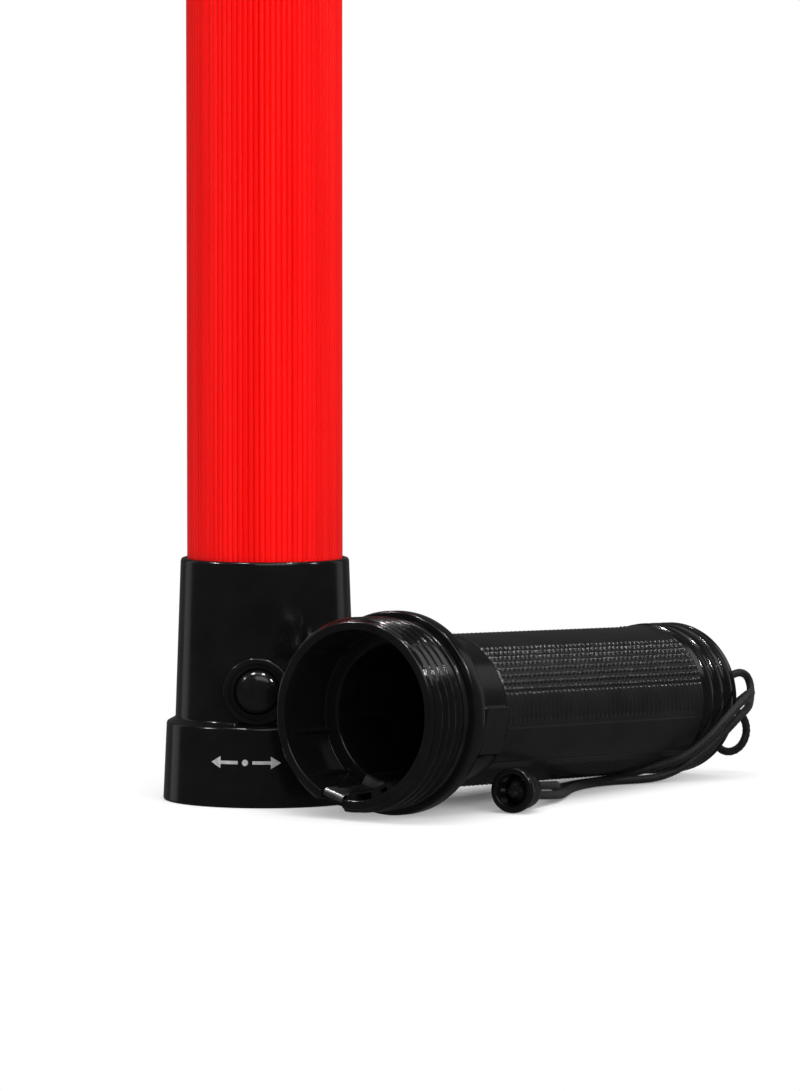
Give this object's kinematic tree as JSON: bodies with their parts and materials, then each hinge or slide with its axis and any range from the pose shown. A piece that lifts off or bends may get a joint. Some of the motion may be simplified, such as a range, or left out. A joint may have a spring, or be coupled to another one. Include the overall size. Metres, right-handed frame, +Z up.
{
  "type": "traffic baton light",
  "caption": "Hand-held traffic baton light opened at its screw joint: a standing light head with a ribbed tube and push button, and a knurled battery grip with a wrist lanyard.",
  "frame": {"origin": "on the standing surface, under the middle of the box round the two halves without the lanyard", "axes": "+Z up along the head's tube; +Y horizontally along the grip from its mouth to its tail; the head stands on the -X side"},
  "size_m": [0.1055, 0.1672, 0.4047],
  "materials": {
    "black_plastic": "glossy black moulded plastic, knurled on the grip",
    "red_plastic": "bright red diffusing plastic with fine lengthwise ribs",
    "black_rubber": "smooth black rubber",
    "steel": "nickel-plated spring steel",
    "brass": "pressed brass contact",
    "white_plastic": "plain white moulded plastic",
    "circuit_board": "green solder mask on glass fibre board",
    "led_lens": "clear silicone over pale phosphor",
    "wire_red": "red wire insulation",
    "wire_black": "black wire insulation",
    "black_cord": "black braided polyester cord"
  },
  "bodies": {
    "grip": {"grip_shell": "black_plastic", "tail_cap": "black_plastic", "contact_strip": "steel", "seal_ring": "black_rubber", "tail_spring_plate": "steel", "tail_spring": "steel", "lanyard_strand_a": "black_cord", "lanyard_strand_b": "black_cord", "lanyard_hitch": "black_cord", "lanyard_knot": "black_cord"},
    "head_gasket": {"head_gasket": "black_rubber"},
    "head": {"head_skirt": "black_plastic", "head_housing": "black_plastic", "diffuser_tube": "red_plastic", "tip_cap": "black_plastic", "push_switch_body": "white_plastic", "inner_frame": "white_plastic", "contact_board": "circuit_board", "ring_contact": "steel", "centre_contact": "brass", "contact_screw_1": "steel", "contact_screw_2": "steel", "driver_board": "circuit_board", "led_spine": "circuit_board", "spine_holder_lower": "white_plastic", "spine_holder_upper": "white_plastic", "led_1": "led_lens", "led_2": "led_lens", "led_3": "led_lens", "led_4": "led_lens", "led_5": "led_lens", "led_6": "led_lens", "led_7": "led_lens", "led_8": "led_lens", "switch_lead": "wire_black", "spine_lead_plus": "wire_red", "spine_lead_minus": "wire_black"},
    "button": {"button_cap": "black_rubber", "switch_plunger": "white_plastic"},
    "tail_contact": {"tail_spring_end_turn": "steel"},
    "cord_stop": {"cord_bell": "black_plastic"}
  },
  "joints": [
    {"name": "head_lift", "type": "slide", "parent": "grip", "child": "head_gasket", "axis": [0, 0, 1], "range_m": [0, 0.08]},
    {"name": "head_turn", "type": "hinge", "parent": "head_gasket", "child": "head", "pos_m": [-0.0252, -0.04201, 0], "axis": [0, 0, 1], "continuous": true},
    {"name": "button_press", "type": "slide", "parent": "head", "child": "button", "axis": [-0.5057, 0.8627, 0], "range_m": [0, 0.0018], "stiffness_N_per_m": 600},
    {"name": "tail_contact_press", "type": "slide", "parent": "grip", "child": "tail_contact", "axis": [0, 0.9991, -0.0419], "range_m": [0, 0.012], "stiffness_N_per_m": 400, "deforming": ["tail_spring"]},
    {"name": "cord_stop_slide", "type": "slide", "parent": "grip", "child": "cord_stop", "axis": [-0.1603, 0.9832, -0.0872], "range_m": [0, 0.008]}
  ]
}
